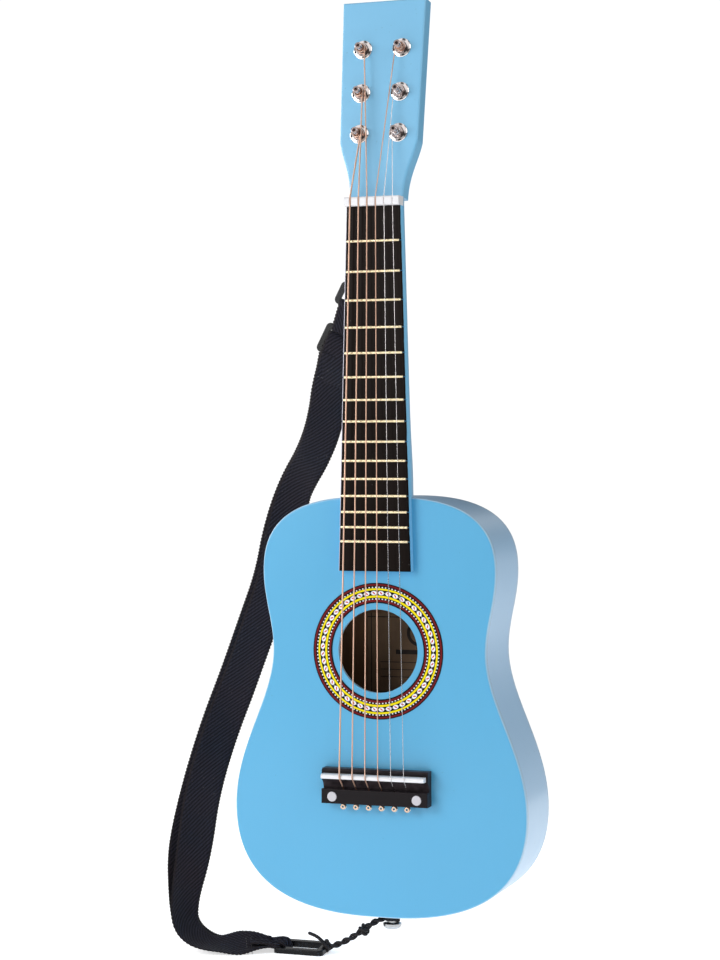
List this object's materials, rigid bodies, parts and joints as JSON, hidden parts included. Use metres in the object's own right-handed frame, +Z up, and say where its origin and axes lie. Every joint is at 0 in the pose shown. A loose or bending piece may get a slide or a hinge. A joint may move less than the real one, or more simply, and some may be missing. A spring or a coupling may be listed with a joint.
{
  "type": "toy acoustic guitar",
  "caption": "Small sky-blue acoustic guitar for a child, with a round soundhole, fretted neck, steel strings, turning tuners and a webbing strap.",
  "frame": {"origin": "front plane of the neck on its centre line, where a hanger holds the guitar just under the headstock", "axes": "+Z up along the neck, -Y out of the front of the guitar, +X to the viewer's right"},
  "size_m": [0.2566, 0.0938, 0.6346],
  "materials": {
    "blue_front": "satin sky-blue paint",
    "blue_rim": "satin paint, paler blue on the sides and back",
    "blue_neck": "satin sky-blue paint",
    "raw_wood": "bare softwood",
    "rosette_film": "printed film with yellow, red, white and black rings",
    "label": "plain printed paper, no readable mark",
    "black_board": "satin black paint",
    "fret_brass": "dull brass wire",
    "white_plastic": "white moulded plastic",
    "black_bridge": "satin black paint",
    "plated_steel": "bright plating",
    "steel": "bare steel",
    "string_copper": "copper-coloured winding",
    "string_steel": "plain steel wire",
    "ball_brass": "gilt ball ends",
    "strap_plastic": "black moulded plastic",
    "webbing": "black twill webbing",
    "cord": "black braided cord"
  },
  "bodies": {
    "guitar": {"top_plate": "blue_front", "back_plate": "blue_rim", "side_left": "blue_rim", "side_right": "blue_rim", "neck_block": "raw_wood", "tail_block": "raw_wood", "top_linings": "raw_wood", "back_linings": "raw_wood", "top_braces": "raw_wood", "back_braces": "raw_wood", "bridge_patch": "raw_wood", "rosette": "rosette_film", "sound_label": "label", "neck": "blue_neck", "fretboard": "black_board", "frets": "fret_brass", "nut": "white_plastic", "bridge": "black_bridge", "saddle": "white_plastic", "bridge_screws": "steel", "bridge_screw_caps": "white_plastic", "bridge_nuts": "steel", "string_ball_ends": "ball_brass", "string_1": "string_copper", "string_2": "string_copper", "string_3": "string_copper", "string_4": "string_copper", "string_5": "string_steel", "string_6": "string_steel", "tuner_washers": "plated_steel", "tuner_bushings": "plated_steel", "tuner_back_ferrules": "plated_steel", "strap_buttons": "plated_steel", "strap_button_screws": "steel", "strap_slider": "strap_plastic", "strap_upper_ring": "strap_plastic", "strap_lower_ring": "strap_plastic", "strap_upper_loop": "webbing", "strap_front_layer": "webbing", "strap_back_layer": "webbing", "tie_cord_lower": "cord", "tie_cord_upper": "cord"},
    "tuner_1": {"tuner_post_1": "plated_steel", "tuner_button_1": "white_plastic", "tuner_winding_1": "string_copper"},
    "tuner_2": {"tuner_post_2": "plated_steel", "tuner_button_2": "white_plastic", "tuner_winding_2": "string_copper"},
    "tuner_3": {"tuner_post_3": "plated_steel", "tuner_button_3": "white_plastic", "tuner_winding_3": "string_copper"},
    "tuner_4": {"tuner_post_4": "plated_steel", "tuner_button_4": "white_plastic", "tuner_winding_4": "string_copper"},
    "tuner_5": {"tuner_post_5": "plated_steel", "tuner_button_5": "white_plastic", "tuner_winding_5": "string_steel"},
    "tuner_6": {"tuner_post_6": "plated_steel", "tuner_button_6": "white_plastic", "tuner_winding_6": "string_steel"}
  },
  "joints": [
    {"name": "tuner_1_turn", "type": "hinge", "parent": "guitar", "child": "tuner_1", "pos_m": [-0.0134, 0.00598, 0.03398], "axis": [0, -0.9903, 0.1392], "continuous": true},
    {"name": "tuner_2_turn", "type": "hinge", "parent": "guitar", "child": "tuner_2", "pos_m": [-0.0134, 0.00981, 0.06121], "axis": [0, -0.9903, 0.1392], "continuous": true},
    {"name": "tuner_3_turn", "type": "hinge", "parent": "guitar", "child": "tuner_3", "pos_m": [-0.0134, 0.01392, 0.09043], "axis": [0, -0.9903, 0.1392], "continuous": true},
    {"name": "tuner_4_turn", "type": "hinge", "parent": "guitar", "child": "tuner_4", "pos_m": [0.0134, 0.01392, 0.09043], "axis": [0, -0.9903, 0.1392], "continuous": true},
    {"name": "tuner_5_turn", "type": "hinge", "parent": "guitar", "child": "tuner_5", "pos_m": [0.0134, 0.00981, 0.06121], "axis": [0, -0.9903, 0.1392], "continuous": true},
    {"name": "tuner_6_turn", "type": "hinge", "parent": "guitar", "child": "tuner_6", "pos_m": [0.0134, 0.00598, 0.03398], "axis": [0, -0.9903, 0.1392], "continuous": true}
  ]
}
